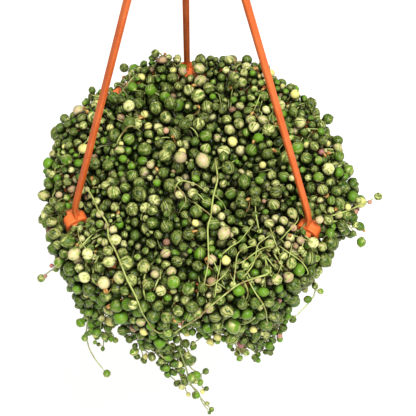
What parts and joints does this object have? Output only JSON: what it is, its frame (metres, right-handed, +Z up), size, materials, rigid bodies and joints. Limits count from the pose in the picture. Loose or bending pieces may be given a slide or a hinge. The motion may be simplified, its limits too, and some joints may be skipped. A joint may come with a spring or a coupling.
{
  "type": "hanging potted string of pearls",
  "caption": "Hanging plastic pot with a clip-on hanger and hook, filled with soil and a trailing succulent whose round leaves cover the top and hang down over the rim.",
  "frame": {"origin": "the seat inside the top of the hook's bend, where the hook bears on whatever holds it", "axes": "+Z up, along the pot's own axis; -Y the front, the side that the picture shows nearest; +X to the right seen from the front; the hook lies in the XZ plane"},
  "size_m": [0.1791, 0.1796, 0.4313],
  "materials": {
    "pot_plastic": "satin",
    "hanger_plastic": "satin",
    "potting_soil": "matte",
    "foliage": "satin"
  },
  "bodies": {
    "root": {"pot": "pot_plastic", "soil": "potting_soil", "hanger": "hanger_plastic", "trailing_bunch_01": "foliage", "trailing_bunch_02": "foliage", "trailing_bunch_03": "foliage", "trailing_bunch_04": "foliage", "trailing_bunch_05": "foliage", "trailing_bunch_06": "foliage", "trailing_bunch_07": "foliage", "trailing_bunch_08": "foliage", "trailing_bunch_09": "foliage", "trailing_bunch_10": "foliage", "trailing_bunch_11": "foliage", "trailing_bunch_12": "foliage", "trailing_bunch_13": "foliage", "trailing_bunch_14": "foliage", "trailing_bunch_15": "foliage", "trailing_bunch_16": "foliage", "trailing_bunch_17": "foliage", "trailing_bunch_18": "foliage", "trailing_bunch_19": "foliage", "trailing_bunch_20": "foliage", "trailing_bunch_21": "foliage", "trailing_bunch_22": "foliage", "trailing_bunch_23": "foliage", "trailing_bunch_24": "foliage", "shoulder_bunch_01": "foliage", "shoulder_bunch_02": "foliage", "shoulder_bunch_03": "foliage", "shoulder_bunch_04": "foliage", "shoulder_bunch_05": "foliage", "shoulder_bunch_06": "foliage", "shoulder_bunch_07": "foliage", "shoulder_bunch_08": "foliage", "shoulder_bunch_09": "foliage", "shoulder_bunch_10": "foliage", "shoulder_bunch_11": "foliage", "shoulder_bunch_12": "foliage", "shoulder_bunch_13": "foliage", "shoulder_bunch_14": "foliage", "crown_bunch_01": "foliage", "crown_bunch_02": "foliage", "crown_bunch_03": "foliage", "crown_bunch_04": "foliage", "crown_bunch_05": "foliage", "crown_bunch_06": "foliage", "crown_bunch_07": "foliage"}
  },
  "joints": []
}
